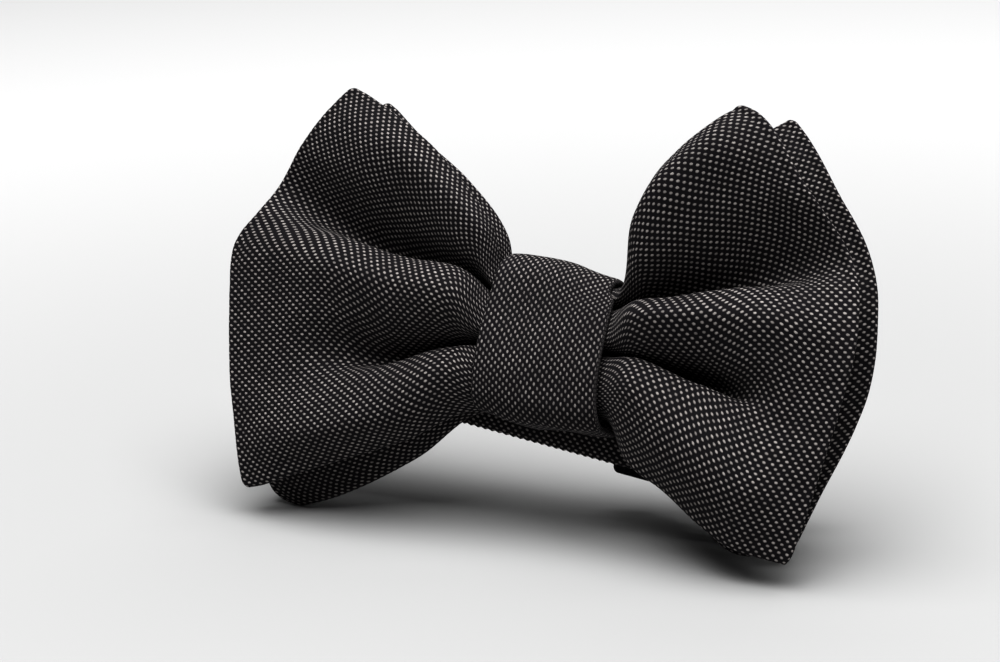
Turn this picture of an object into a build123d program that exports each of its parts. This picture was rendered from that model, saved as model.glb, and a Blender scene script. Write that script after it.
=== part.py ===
from build123d import *
import math
import os

# A pre-tied bow tie standing on a table with its neckband folded up behind it.
# Everything is drawn upright first: X to the right as seen from the front, Z up, Y to the back.
# Then the whole tie is leant back about X, the way it rests on a table.
# The origin is the middle of the knot's back face, where the tie seats against the collar.

# --- driving dimensions, mm and degrees ---
lean_back = 20.0            # the tie leans back by this much as it stands
waist_half_height = 12.0    # gathered bow inside the knot
knot_sag = 1.0              # the knot and the gathered waist sit this much below the neckband's middle line
knot_half_width = 12.0      # along X
knot_half_height = 14.4     # along Z, outside the cloth
cloth = 0.9                 # knot cloth with its own turned-in edges
liner = 0.5                 # interfacing under the knot cloth
pouch_wall = 0.7            # cloth of the bow, one thickness
interfacing = 0.4           # stiffener sheet inside each bow layer
band_width = 20.0           # neckband
band_thickness = 1.6
ply_gap = 0.5               # air between the folded plies
band_slope = 8.0            # folded plies run downhill to the right
tail_ply_y = 5.4            # front face of the neckband where it passes through the knot
fold_x = -58.0              # left folds
fold_right_x = 33.0         # right fold
eye_bar_x = 39.0
hook_bar_x = 30.0
slider_x = 14.0             # middle of the slide adjuster, measured along the outer ply
bar_radius = 0.75           # half width of the bars of the metal parts
plate = 1.2                 # thickness of the metal plates
bar_room = 0.35             # air between a bar and the cloth that turns round it
plate_height = 24.0         # metal parts stand 2 mm proud of the band on each side
slot_height = 20.8          # windows that the band passes through
slide_half_length = 7.0     # slide adjuster, along the band
tongue_width = 7.5          # the hook's tongue
curl_radius = 1.5           # middle radius of its curled end
thread = 0.5                # thread diameter
hair = 0.1                  # smallest clearance between neighbours

# --- places worked out from them ---
strap_end_x = hook_bar_x - 15.0                     # the outer ply's rigid end, short of the sliding hook end
left_end_x = fold_x + 0.5
center_end_x = eye_bar_x - 2.2
knot_back_y = tail_ply_y + band_thickness + 0.3 + liner + hair + cloth
knot_front_y = -9.0
inner_y = knot_back_y + 0.8                         # front face of the first folded ply
ply_step = band_thickness + ply_gap
middle_y = inner_y + ply_step
outer_y = middle_y + ply_step
return_y = outer_y + band_thickness + 0.2           # ply that comes back from the hook
slider_y = return_y + band_thickness + 0.2

sag = Location((0, 0, -knot_sag))

# Outlines: x, top z, bottom z. Each bow layer is one piece from wing tip to wing tip.
front_outline = [
    (-63.2, 10.0, 2.0),
    (-61.8, 14.6, -9.0),
    (-59.0, 18.4, -21.4),
    (-55.4, 23.4, -31.2),
    (-50.8, 30.0, -31.0),
    (-43.0, 41.2, -28.5),
    (-30.8, 36.0, -23.5),
    (-18.0, 27.1, -16.5),
    (-12.2, 11.0, -13.0),
    (12.2, 11.0, -13.0),
    (16.0, 29.5, -18.5),
    (20.5, 35.2, -21.5),
    (29.6, 41.6, -25.6),
    (37.5, 33.6, -29.0),
    (45.0, 24.5, -31.4),
    (49.2, 18.8, -20.2),
    (52.3, 13.0, -5.0),
    (53.5, 8.0, 1.5),
]
back_outline = [
    (-60.5, 10.0, 0.0),
    (-58.5, 14.5, -10.0),
    (-53.5, 22.0, -25.0),
    (-48.5, 30.0, -33.4),
    (-41.0, 40.4, -30.0),
    (-29.5, 33.6, -22.5),
    (-18.0, 25.5, -15.0),
    (-12.2, 11.0, -13.0),
    (12.2, 11.0, -13.0),
    (17.0, 26.0, -16.5),
    (25.0, 35.5, -22.0),
    (34.8, 41.2, -28.0),
    (42.2, 31.2, -31.6),
    (48.0, 21.5, -17.5),
    (52.4, 12.0, -4.0),
    (53.6, 7.0, 2.5),
]
# How far each layer stands forward, how deep its folds are and how thick it is,
# at the waist, in the middle of a wing and at a wing tip.
front_depth = ((-3.2, 1.8, 3.0), (-8.8, 3.0, 4.6), (-8.2, 1.0, 3.0))
back_depth = ((1.0, 1.8, 3.0), (1.0, 2.0, 3.6), (1.2, 0.8, 2.6))
flare_run = 13.0            # a layer reaches its middle depth this far outside the knot
lobes = 3                   # each wing has three rounded lobes with two valleys between
steps_per_lobe = 2
edge_pinch = 0.55           # the layer is thinner along its folded top and bottom edges


def fold(v):
    """Depth of the pleats from bottom edge (0) to top edge (1): -1 is a lobe, +1 is a valley."""
    return 4 * abs((lobes * v) % 1 - 0.5) - 1


def layer_depth(x, depth):
    """Middle depth, fold depth and thickness of a bow layer at x."""
    reach = max(0.0, abs(x) - 12.2)
    if reach < flare_run:
        s = reach / flare_run
        a, b = depth[0], depth[1]
    else:
        s = min(1.0, (reach - flare_run) / 30.0)
        a, b = depth[1], depth[2]
    return tuple(p + (q - p) * s for p, q in zip(a, b))


def layer_section(station, depth, inset, cut_top, cut_bottom):
    """Closed zigzag section of a bow layer, thinner by inset on each face and cut short top and bottom."""
    x, top, bottom = station
    middle, amplitude, thick = layer_depth(x, depth)
    height = top - bottom
    count = lobes * steps_per_lobe
    lowest = cut_bottom / height
    highest = 1 - cut_top / height
    crowd = 0.01
    front = []
    back = []
    for i in range(count + 1):
        v = max(i / count, lowest + crowd * i)
        v = min(v, highest - crowd * (count - i))
        z = bottom + height * v
        y = middle + amplitude * fold(v)
        half = thick / 2
        if i in (0, count) and inset == 0:
            half = half * edge_pinch
        half = max(half - inset, interfacing / 2)
        front.append((x, y - half, z))
        back.append((x, y + half, z))
    return Wire.make_polygon(front + back[::-1], close=True)


def slopes(outline, i):
    """How much longer a cut must be along Z so that the wall keeps its thickness at station i."""
    before = outline[max(i - 1, 0)]
    after = outline[min(i + 1, len(outline) - 1)]
    run = max(after[0] - before[0], 0.1)
    return tuple(math.hypot(1.0, (after[k] - before[k]) / run) for k in (1, 2))


def layer_solid(outline, depth, inset=0.0, edge_cut=0.0, share=0.0, skip=0):
    """A bow layer as a ruled loft from tip to tip; what lies inside skips some stations at each tip."""
    wires = []
    for i in range(skip, len(outline) - skip):
        x, top, bottom = outline[i]
        room = share * (top - bottom)
        up, down = slopes(outline, i)
        wires.append(layer_section(
            outline[i], depth, inset, min(edge_cut * up, room), min(edge_cut * down, room)
        ))
    return Solid.make_loft(wires, ruled=True)


def bow_cloth(outline, depth):
    """The cloth pouch of one bow layer."""
    hollow = layer_solid(outline, depth, pouch_wall, 1.4 * pouch_wall, share=0.33, skip=1)
    return layer_solid(outline, depth) - hollow


def bow_interfacing(outline, depth):
    """The stiffener sheet that lies inside a pouch, clear of its walls."""
    thin = 9.0
    return layer_solid(outline, depth, thin, 1.4 * pouch_wall + 1.4, share=0.41, skip=3)


def end_stitches(outline, depth, inner, spacing=3.2, length=1.9):
    """A row of thread stitches on the back of a layer, just inside one wing tip."""
    x, top, bottom = outline[inner]
    margin = 3.0
    count = int((top - bottom - 2 * margin) / spacing)
    middle, amplitude, thick = layer_depth(x, depth)
    stitches = []
    for i in range(count):
        v = (margin + (i + 0.5) * spacing) / (top - bottom)
        z = bottom + v * (top - bottom)
        y = middle + amplitude + thick / 2 + thread / 2 + 0.1
        stitches.append(Cylinder(thread / 2, length).locate(Location((x, y, z))))
    return stitches


def loop_block(half_width, half_height, front, back, wall, radius):
    """A rounded rectangular sleeve around the waist, open to the left and right."""
    outside = Plane.YZ * Location(((front + back) / 2, 0)) * RectangleRounded(
        back - front, 2 * half_height, radius
    )
    inside = Plane.YZ * Location(((front + back) / 2, 0)) * RectangleRounded(
        back - front - 2 * wall, 2 * (half_height - wall), radius - wall * 0.9
    )
    return extrude(outside - inside, half_width, both=True)


def knot_band():
    """The cloth loop that makes the knot; its two ends butt at the middle of the back."""
    sleeve = loop_block(knot_half_width, knot_half_height, knot_front_y, knot_back_y, cloth, 3.4)
    slit = Box(2 * knot_half_width + 1, 2 * cloth + 1, 0.3).locate(Location((0, knot_back_y, 0)))
    return sleeve - slit


def knot_interfacing():
    """The stiffener loop just inside the knot cloth."""
    step = cloth + hair
    return loop_block(
        knot_half_width - 1.2, knot_half_height - step, knot_front_y + step, knot_back_y - step, liner, 2.6
    )


def knot_closing_stitches(count=7):
    """Hand stitches across the slit at the back of the knot."""
    stitches = []
    for i in range(count):
        x = (i - (count - 1) / 2) * 3.0
        spot = Location((x, knot_back_y + thread / 2 + 0.05, 0), (0, 18, 0))
        stitches.append(Cylinder(thread / 2, 2.4).locate(spot))
    return Compound(stitches)


def waist_thread(turns=6):
    """Thread wound round the gathered waist, one closed turn beside another."""
    clear = hair + thread / 2
    front_middle, front_fold, front_thick = front_depth[0]
    back_middle, back_fold, back_thick = back_depth[0]
    front = front_middle - front_fold - front_thick / 2 - clear
    back = back_middle + back_fold + back_thick / 2 + clear
    height = 2 * (waist_half_height + clear)
    rings = []
    for i in range(turns):
        x = (i - (turns - 1) / 2) * (thread + 0.2)
        path = Plane.YZ.offset(x) * Location(((front + back) / 2, 0)) * RectangleRounded(
            back - front, height, 0.8
        )
        start = Plane((x, front, 0), x_dir=(1, 0, 0), z_dir=(0, 0, 1))
        ring = sweep(start * Circle(thread / 2), path=path.wire())
        rings.append(ring)
    return Compound(rings)


def strip(x0, x1, y, width=band_width, thickness=band_thickness):
    """A flat ply of neckband from x0 to x1 whose front face is at y."""
    return Box(x1 - x0, thickness, width).locate(
        Location(((x0 + x1) / 2, y + thickness / 2, 0))
    )


def ply_cloth(x0, x1, y):
    """Neckband cloth tube with room for the interlining."""
    core = strip(x0 - 1, x1 + 1, y + 0.45, band_width - 1.4, band_thickness - 0.9)
    return strip(x0, x1, y) - core


def ply_interlining(x0, x1, y):
    """Interlining strip inside a neckband ply."""
    return strip(x0 + 1.0, x1 - 1.0, y + 0.55, band_width - 1.8, band_thickness - 1.1)


def downhill(shape):
    """Puts a shape drawn along the band onto the folded plies, which slope from the left folds."""
    return shape.moved(Location((fold_x, 0, 0), (0, band_slope, 0)) * Location((-fold_x, 0, 0)))


def strap_loop(x_bar, ply_y, length, width):
    """A ply that turns round a metal bar and comes back over itself, drawn along X."""
    inner = bar_radius + bar_room
    outer = inner + band_thickness
    bar_y = ply_y + band_thickness + inner
    top_y = ply_y + band_thickness + 0.2
    flat = x_bar - 2.0
    ramp_end = flat - 4.0
    end = x_bar - length
    ply_stub = [
        (flat, ply_y),
        (x_bar, ply_y),
        (x_bar, ply_y + band_thickness),
        (flat, ply_y + band_thickness),
    ]
    return_ply = [
        (x_bar, bar_y + inner),
        (flat, bar_y + inner),
        (ramp_end, top_y),
        (end, top_y),
        (end, top_y + band_thickness),
        (ramp_end, top_y + band_thickness),
        (flat, bar_y + outer),
        (x_bar, bar_y + outer),
    ]
    ring = Location((x_bar, bar_y)) * (Circle(outer) - Circle(inner))
    half = Location((x_bar + outer, bar_y)) * Rectangle(2 * outer, 4 * outer)
    turn = ring & half
    stub = extrude(Polygon(*ply_stub, align=None), width / 2, both=True)
    back_leg = extrude(Polygon(*return_ply, align=None), width / 2, both=True)
    return stub + back_leg + extrude(turn, width / 2, both=True)


def plate_frame(x0, x1, y_middle, windows):
    """A flat metal frame from x0 to x1 with upright windows [(x0, x1, height)]."""
    level = Plane.XZ.offset(-y_middle)
    body = level * Location(((x0 + x1) / 2, 0)) * RectangleRounded(x1 - x0, plate_height, 1.2)
    for a, b, height in windows:
        body -= level * Location(((a + b) / 2, 0)) * RectangleRounded(b - a, height, 0.4)
    return extrude(body, plate / 2, both=True)


def metal_end(x_bar, y_bar, tongue_windows, length):
    """Bar for the strap, slot and end plate: the shared shape of the hook and the eye."""
    slot = (x_bar + bar_radius, x_bar + 4.0, slot_height)
    return plate_frame(x_bar - bar_radius, x_bar + length, y_bar, [slot] + tongue_windows)


def eye():
    """The eye: a plate with a strap slot and a smaller slot that takes the hook."""
    y = tail_ply_y + band_thickness + bar_radius + bar_room
    return metal_end(eye_bar_x, y, [(eye_bar_x + 5.4, eye_bar_x + 8.0, 9.0)], 9.6)


def hook():
    """The hook: a plate with a strap slot and a tongue that curls back over itself."""
    y = outer_y + band_thickness + bar_radius + bar_room
    plate_end_x = hook_bar_x + 5.8
    curl_x = plate_end_x + 2.4
    centre = (curl_x, y + curl_radius)
    ring = Location(centre) * (Circle(curl_radius + plate / 2) - Circle(curl_radius - plate / 2))
    right_side = Location((curl_x + 3, centre[1])) * Rectangle(6, 8)
    curl = extrude(Plane.XY * (ring & right_side), tongue_width / 2, both=True)
    lower = Box(3.4, plate, tongue_width).locate(Location((curl_x - 1.7, y, 0)))
    upper = Box(2.8, plate, tongue_width).locate(Location((curl_x - 1.4, y + 2 * curl_radius, 0)))
    return metal_end(hook_bar_x, y, [], plate_end_x - hook_bar_x) + lower + curl + upper


def slide_frame():
    """The slide adjuster: a frame with a middle bar that the band is sewn round."""
    side = 1.8
    window = 4.4
    left = slider_x - slide_half_length
    right = slider_x + slide_half_length
    windows = [
        (left + side, left + side + window, slot_height),
        (right - side - window, right - side, slot_height),
    ]
    return plate_frame(left, right, slider_y + plate / 2, windows)


def slide_wrap():
    """The cloth hump that passes over the middle bar of the slide adjuster."""
    low = slider_y + plate + 0.1
    high = low + 0.9
    under = low + 0.15
    outer_half = ((3.6, low), (1.6, high))
    inner_half = ((1.3, under), (2.7, low))
    left = [(slider_x - dx, y) for dx, y in outer_half]
    right = [(slider_x + dx, y) for dx, y in reversed(outer_half)]
    under_right = [(slider_x + dx, y) for dx, y in reversed(inner_half)]
    under_left = [(slider_x - dx, y) for dx, y in inner_half]
    outline = Polygon(*(left + right + under_right + under_left), align=None)
    return extrude(outline, band_width / 2 - 0.2, both=True)


def bar_tack(x, y, count=9, pitch=1.9):
    """A row of short stitches across the band at x, lying on the face at y."""
    stitches = []
    for i in range(count):
        z = (i - (count - 1) / 2) * pitch
        stitches.append(Cylinder(thread / 2, 1.4).locate(Location((x, y + thread / 2 + 0.02, z), (0, 14, 0))))
    return Compound(stitches)


hook_loop_length = hook_bar_x - slider_x + 5.0
tail_loop_length = 11.0

nodes = {
    "front_bow_cloth": bow_cloth(front_outline, front_depth),
    "front_bow_interfacing": bow_interfacing(front_outline, front_depth),
    "back_bow_cloth": bow_cloth(back_outline, back_depth),
    "back_bow_interfacing": bow_interfacing(back_outline, back_depth),
    "back_bow_seam_stitches": Compound(
        end_stitches(back_outline, back_depth, 2) + end_stitches(back_outline, back_depth, -3)
    ),
    "waist_thread": waist_thread().moved(sag),
    "knot_band": knot_band().moved(sag),
    "knot_interfacing": knot_interfacing().moved(sag),
    "knot_closing_stitches": knot_closing_stitches().moved(sag),
    "neckband_center_cloth": ply_cloth(left_end_x, center_end_x, tail_ply_y),
    "neckband_center_interlining": ply_interlining(left_end_x, center_end_x, tail_ply_y),
    "tail_loop_cloth": strap_loop(eye_bar_x, tail_ply_y, tail_loop_length, band_width),
    "tail_bar_tack": bar_tack(eye_bar_x - 9.0, tail_ply_y + 2 * band_thickness + 0.2),
    "eye": eye(),
    "neckband_inner_cloth": downhill(ply_cloth(left_end_x, fold_right_x, inner_y)),
    "neckband_inner_interlining": downhill(ply_interlining(left_end_x, fold_right_x, inner_y)),
    "neckband_middle_cloth": downhill(ply_cloth(left_end_x, fold_right_x, middle_y)),
    "neckband_middle_interlining": downhill(ply_interlining(left_end_x, fold_right_x, middle_y)),
    "neckband_outer_cloth": downhill(ply_cloth(left_end_x, strap_end_x, outer_y)),
    "neckband_outer_interlining": downhill(ply_interlining(left_end_x, strap_end_x, outer_y)),
    "hook_loop_cloth": downhill(strap_loop(hook_bar_x, outer_y, hook_loop_length, band_width)),
    "hook": downhill(hook()),
    "slide_frame": downhill(slide_frame()),
    "slide_wrap_cloth": downhill(slide_wrap()),
    "slide_bar_tack": downhill(bar_tack(slider_x, slider_y + plate + 1.0)),
}

# The lean, with the middle of the knot's back face brought to the origin.
stand = Location((0, 0, 0), (-lean_back, 0, 0)) * Location((0, -knot_back_y, 0))

os.makedirs("parts", exist_ok=True)
for name, shape in nodes.items():
    placed = shape.moved(stand)
    export_step(placed, f"parts/{name}.step")
    print(name, round(placed.volume, 1))
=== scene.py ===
import math

import bmesh
import bpy
import numpy as np
from mathutils import Matrix, Vector, noise


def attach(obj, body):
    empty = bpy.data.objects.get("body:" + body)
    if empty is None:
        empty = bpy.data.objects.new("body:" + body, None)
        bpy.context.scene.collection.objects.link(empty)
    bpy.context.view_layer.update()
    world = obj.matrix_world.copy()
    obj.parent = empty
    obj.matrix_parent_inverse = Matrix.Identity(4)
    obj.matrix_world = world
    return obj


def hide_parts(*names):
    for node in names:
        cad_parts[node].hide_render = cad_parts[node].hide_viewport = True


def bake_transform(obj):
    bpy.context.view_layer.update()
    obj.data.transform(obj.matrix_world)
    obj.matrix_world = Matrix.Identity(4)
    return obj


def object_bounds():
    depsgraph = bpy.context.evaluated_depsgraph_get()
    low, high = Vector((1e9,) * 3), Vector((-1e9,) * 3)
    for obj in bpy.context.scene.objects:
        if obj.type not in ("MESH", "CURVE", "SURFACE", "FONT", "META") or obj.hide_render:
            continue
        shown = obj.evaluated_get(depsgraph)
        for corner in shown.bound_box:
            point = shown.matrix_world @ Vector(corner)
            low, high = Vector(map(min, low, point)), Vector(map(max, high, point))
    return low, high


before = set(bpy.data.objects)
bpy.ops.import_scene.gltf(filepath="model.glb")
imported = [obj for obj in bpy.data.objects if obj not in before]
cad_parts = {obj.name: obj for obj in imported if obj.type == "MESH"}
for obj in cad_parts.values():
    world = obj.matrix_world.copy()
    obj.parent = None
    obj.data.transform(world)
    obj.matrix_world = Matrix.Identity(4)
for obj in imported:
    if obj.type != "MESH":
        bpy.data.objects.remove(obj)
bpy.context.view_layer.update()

# The looks of a pre-tied bow tie. Lengths are in millimetres in "tie space": the tie upright,
# X to the right as seen from the front, Y to the back, Z up, zero in the middle of the waist.
# to_row() leans the tie back and turns a point into the metres of the CAD frame.

LEAN = math.radians(20.0)
KNOT_BACK = 8.8             # the CAD frame's zero is on the back of the knot
SLOPE = math.radians(8.0)   # the folded neckband runs downhill to the right
FOLD_X = -58.0              # the left folds of the neckband
FOLD_RIGHT_X = 33.0         # its right fold

DOT_LONG = 1.42             # the weave's repeat along the length of the cloth
DOT_WIDE = 1.27             # and across it
DOT_HALF_LONG = 0.235       # half sizes of a dot, as shares of the repeat
DOT_HALF_WIDE = 0.170
CLOTH_WIDTH = 74.0          # flat height of a bow layer before it is gathered


# ---------------------------------------------------------------- placing

def to_row(points):
    """Tie-space millimetres to the CAD frame's metres."""
    p = np.asarray(points, float).reshape(-1, 3)
    y = p[:, 1] - KNOT_BACK
    z = p[:, 2]
    c, s = math.cos(LEAN), math.sin(LEAN)
    return np.stack([p[:, 0], y * c + z * s, -y * s + z * c], 1) / 1000.0


def downhill(points):
    """Turns points drawn along a level neckband onto its sloping folded plies."""
    p = np.array(points, float).reshape(-1, 3)
    dx = p[:, 0] - FOLD_X
    z = p[:, 2].copy()
    c, s = math.cos(SLOPE), math.sin(SLOPE)
    p[:, 0] = FOLD_X + dx * c + z * s
    p[:, 2] = -dx * s + z * c
    return p


def level(points):
    """Leaves points drawn along a level neckband where they are."""
    return np.array(points, float).reshape(-1, 3)


# ---------------------------------------------------------------- curves and sheets

def spline(points, steps):
    """Smooth curve through points along axis 0, with steps samples in each span: one number or a list."""
    p = np.asarray(points, float)
    spans = [steps] * (len(p) - 1) if isinstance(steps, int) else list(steps)
    gaps = np.linalg.norm(np.diff(p, axis=0), axis=-1, keepdims=True) + 1e-6
    slopes = np.diff(p, axis=0) / gaps
    tangents = np.empty_like(p)
    tangents[1:-1] = (slopes[:-1] * gaps[1:] + slopes[1:] * gaps[:-1]) / (gaps[1:] + gaps[:-1])
    tangents[0] = slopes[0]
    tangents[-1] = slopes[-1]
    rows = []
    for i, count in enumerate(spans):
        for k in range(count):
            t = k / count
            h00 = 2 * t ** 3 - 3 * t ** 2 + 1
            h10 = t ** 3 - 2 * t ** 2 + t
            h01 = 3 * t ** 2 - 2 * t ** 3
            h11 = t ** 3 - t ** 2
            bend = gaps[i] * (h10 * tangents[i] + h11 * tangents[i + 1])
            rows.append(h00 * p[i] + h01 * p[i + 1] + bend)
    rows.append(p[-1])
    return np.array(rows)


def closed_spline(points, steps):
    """Smooth closed curve; the last sample isn't repeated."""
    p = list(points)
    wrapped = p[-2:] + p + p[:3]
    return spline(wrapped, steps)[2 * steps:(2 + len(p)) * steps]


def sheet(net, along, across):
    """Grid of points through a net of stations by lines."""
    rows = spline(np.swapaxes(np.asarray(net, float), 0, 1), across)
    return spline(np.swapaxes(rows, 0, 1), along)


def normals_of(grid):
    du = np.gradient(grid, axis=0)
    dv = np.gradient(grid, axis=1)
    n = np.cross(du, dv)
    return n / (np.linalg.norm(n, axis=-1, keepdims=True) + 1e-9)


def arc_share(grid, axis):
    """Distance along one grid direction, as a share of each line's whole length."""
    step = np.linalg.norm(np.diff(grid, axis=axis), axis=-1)
    pad = [(0, 0), (0, 0)]
    pad[axis] = (1, 0)
    length = np.cumsum(np.pad(step, pad), axis=axis)
    total = length.max(axis=axis, keepdims=True)
    return length / total


def mean_length(grid, axis):
    return np.linalg.norm(np.diff(grid, axis=axis), axis=-1).sum(axis=axis).mean()


def smooth_step(a, b, x):
    t = np.clip((np.asarray(x, float) - a) / (b - a), 0, 1)
    return t * t * (3 - 2 * t)


def ripple(grid, size, height, shift=0.0):
    """Smooth noise over a grid of points, for soft dents and wrinkles."""
    flat = grid.reshape(-1, 3) / size
    values = [noise.noise(Vector((p[0] + shift, p[1], p[2] - shift))) for p in flat]
    return np.array(values).reshape(grid.shape[:2]) * height


# ---------------------------------------------------------------- mesh building

def new_mesh(name, points, faces, uvs, material):
    """Linked smooth mesh object; uvs holds one pair a vertex or one a face corner."""
    mesh = bpy.data.meshes.new(name)
    mesh.from_pydata([tuple(p) for p in points], [], faces)
    layer = mesh.uv_layers.new(name="UVMap")
    loop_vertices = np.empty(len(mesh.loops), int)
    mesh.loops.foreach_get("vertex_index", loop_vertices)
    uvs = np.asarray(uvs, float)
    values = uvs if len(uvs) == len(mesh.loops) else uvs[loop_vertices]
    layer.data.foreach_set("uv", values.ravel())
    mesh.polygons.foreach_set("use_smooth", [True] * len(mesh.polygons))
    mesh.materials.append(material)
    mesh.validate()
    mesh.update()
    obj = bpy.data.objects.new(name, mesh)
    bpy.context.scene.collection.objects.link(obj)
    return obj


def apply_modifiers(obj):
    bpy.context.view_layer.update()
    depsgraph = bpy.context.evaluated_depsgraph_get()
    done = bpy.data.meshes.new_from_object(obj.evaluated_get(depsgraph))
    obj.modifiers.clear()
    obj.data = done


def carry(obj, body, node):
    """Fixes a piece to a body in place of a CAD node."""
    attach(obj, body)
    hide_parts(node)


def subdivide(obj):
    m = obj.modifiers.new("Subdivision", "SUBSURF")
    m.levels = 1
    m.render_levels = 1
    m.boundary_smooth = "PRESERVE_CORNERS"
    apply_modifiers(obj)


def weld(obj):
    """Joins vertices that lie on one another and turns every face outward."""
    b = bmesh.new()
    b.from_mesh(obj.data)
    bmesh.ops.remove_doubles(b, verts=b.verts, dist=1e-6)
    bmesh.ops.recalc_face_normals(b, faces=b.faces)
    b.to_mesh(obj.data)
    b.free()


# ---------------------------------------------------------------- materials

def material(name):
    m = bpy.data.materials.new(name)
    m.use_nodes = True
    m.node_tree.nodes.clear()
    return m, m.node_tree.nodes, m.node_tree.links


class Graph:
    """Short way to write math node chains."""

    def __init__(self, nodes, links):
        self.nodes = nodes
        self.links = links

    def put(self, socket, value):
        if hasattr(value, "is_linked"):
            self.links.new(value, socket)
        else:
            socket.default_value = value

    def math(self, op, a, b=0.0):
        n = self.nodes.new("ShaderNodeMath")
        n.operation = op
        for socket, value in zip(n.inputs, (a, b)):
            self.put(socket, value)
        return n.outputs[0]

    def step(self, value, low, high, out_low=0.0, out_high=1.0):
        n = self.nodes.new("ShaderNodeMapRange")
        n.interpolation_type = "SMOOTHSTEP"
        self.put(n.inputs[0], value)
        for socket, v in zip(n.inputs[1:5], (low, high, out_low, out_high)):
            self.put(socket, v)
        return n.outputs[0]

    def mix(self, factor, a, b):
        n = self.nodes.new("ShaderNodeMix")
        n.data_type = "RGBA"
        self.put(n.inputs[0], factor)
        self.put(n.inputs[6], a)
        self.put(n.inputs[7], b)
        return n.outputs[2]

    def noise(self, vector, scale, detail=2.0, rough=0.5):
        n = self.nodes.new("ShaderNodeTexNoise")
        n.inputs["Scale"].default_value = scale
        n.inputs["Detail"].default_value = detail
        n.inputs["Roughness"].default_value = rough
        self.links.new(vector, n.inputs["Vector"])
        return n.outputs[0]

    def combine(self, x, y, z=0.0):
        n = self.nodes.new("ShaderNodeCombineXYZ")
        for socket, v in zip(n.inputs, (x, y, z)):
            self.put(socket, v)
        return n.outputs[0]

    def white(self, vector):
        n = self.nodes.new("ShaderNodeTexWhiteNoise")
        n.noise_dimensions = "3D"
        self.links.new(vector, n.inputs[0])
        return n.outputs[0]


def birdseye_cloth(name, dot_painted_light=1.0, slant=0.16):
    """Dark suiting with pale dots in a staggered lattice. UVs are the cloth's own millimetres."""
    m, nodes, links = material(name)
    g = Graph(nodes, links)
    uv = nodes.new("ShaderNodeUVMap")
    uv.uv_map = "UVMap"
    split = nodes.new("ShaderNodeSeparateXYZ")
    links.new(uv.outputs[0], split.inputs[0])
    wander = g.noise(uv.outputs[0], 0.16, 1.0)
    u = g.math("DIVIDE", g.math("ADD", split.outputs[0], g.math("MULTIPLY", wander, 0.5)), DOT_LONG)
    v = g.math("DIVIDE", g.math("ADD", split.outputs[1], g.math("MULTIPLY", wander, 0.5)), DOT_WIDE)
    fibre = g.noise(uv.outputs[0], 5.5, 3.0, 0.6)
    dots = None
    tone = None
    for offset in (0.0, 0.5):
        cu = g.math("ADD", u, offset)
        cv = g.math("ADD", v, offset)
        cell = g.combine(g.math("FLOOR", cu), g.math("FLOOR", cv), offset + 0.1)
        random_tone = g.white(cell)
        x = g.math("SUBTRACT", g.math("FRACT", cu), 0.5)
        y = g.math("SUBTRACT", g.math("FRACT", cv), 0.5)
        y = g.math("SUBTRACT", y, g.math("MULTIPLY", x, slant))
        far_x = g.math("POWER", g.math("DIVIDE", x, DOT_HALF_LONG), 2.0)
        far_y = g.math("POWER", g.math("DIVIDE", y, DOT_HALF_WIDE), 2.0)
        far = g.math("ADD", far_x, far_y)
        far = g.math("ADD", far, g.math("MULTIPLY", g.math("SUBTRACT", fibre, 0.5), 0.9))
        dot = g.step(far, 1.3, 0.15)
        tinted = g.math("MULTIPLY", dot, g.math("ADD", 0.6, g.math("MULTIPLY", random_tone, 0.5)))
        dots = dot if dots is None else g.math("MAXIMUM", dots, dot)
        tone = tinted if tone is None else g.math("MAXIMUM", tone, tinted)
    rib = g.math("SINE", g.math("MULTIPLY", g.math("ADD", u, v), 4 * math.pi))
    fine_u = g.math("MULTIPLY", split.outputs[0], 3.0)
    fine_v = g.math("MULTIPLY", split.outputs[1], 9.0)
    yarn = g.noise(g.combine(fine_u, fine_v), 1.6, 3.0, 0.65)
    ground = g.mix(yarn, (0.0045, 0.0038, 0.005, 1), (0.013, 0.0115, 0.0135, 1))
    patch = g.noise(uv.outputs[0], 0.09, 2.0)
    patchy = g.math("ADD", 0.72, g.math("MULTIPLY", patch, 0.5))
    # Painted shade: a copy of the cloth can have all its dots dimmed evenly by this factor.
    bright = g.math("MULTIPLY", tone, g.math("MULTIPLY", patchy, dot_painted_light))
    pale = g.mix(fibre, (0.25, 0.230, 0.220, 1), (0.42, 0.393, 0.377, 1))
    colour = g.mix(bright, ground, pale)
    height = g.math("ADD", g.math("MULTIPLY", dots, 0.8), g.math("MULTIPLY", rib, 0.10))
    height = g.math("ADD", height, g.math("MULTIPLY", fibre, 0.25))
    bump = nodes.new("ShaderNodeBump")
    bump.inputs["Strength"].default_value = 0.55
    bump.inputs["Distance"].default_value = 0.00022
    links.new(height, bump.inputs["Height"])
    shader = nodes.new("ShaderNodeBsdfPrincipled")
    shader.inputs["Roughness"].default_value = 0.82
    shader.inputs["Specular IOR Level"].default_value = 0.12
    shader.inputs["Sheen Weight"].default_value = 0.03
    shader.inputs["Sheen Roughness"].default_value = 0.45
    shader.inputs["Sheen Tint"].default_value = (0.7, 0.68, 0.72, 1)
    links.new(colour, shader.inputs["Base Color"])
    links.new(bump.outputs[0], shader.inputs["Normal"])
    out = nodes.new("ShaderNodeOutputMaterial")
    links.new(shader.outputs[0], out.inputs[0])
    return m


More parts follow.
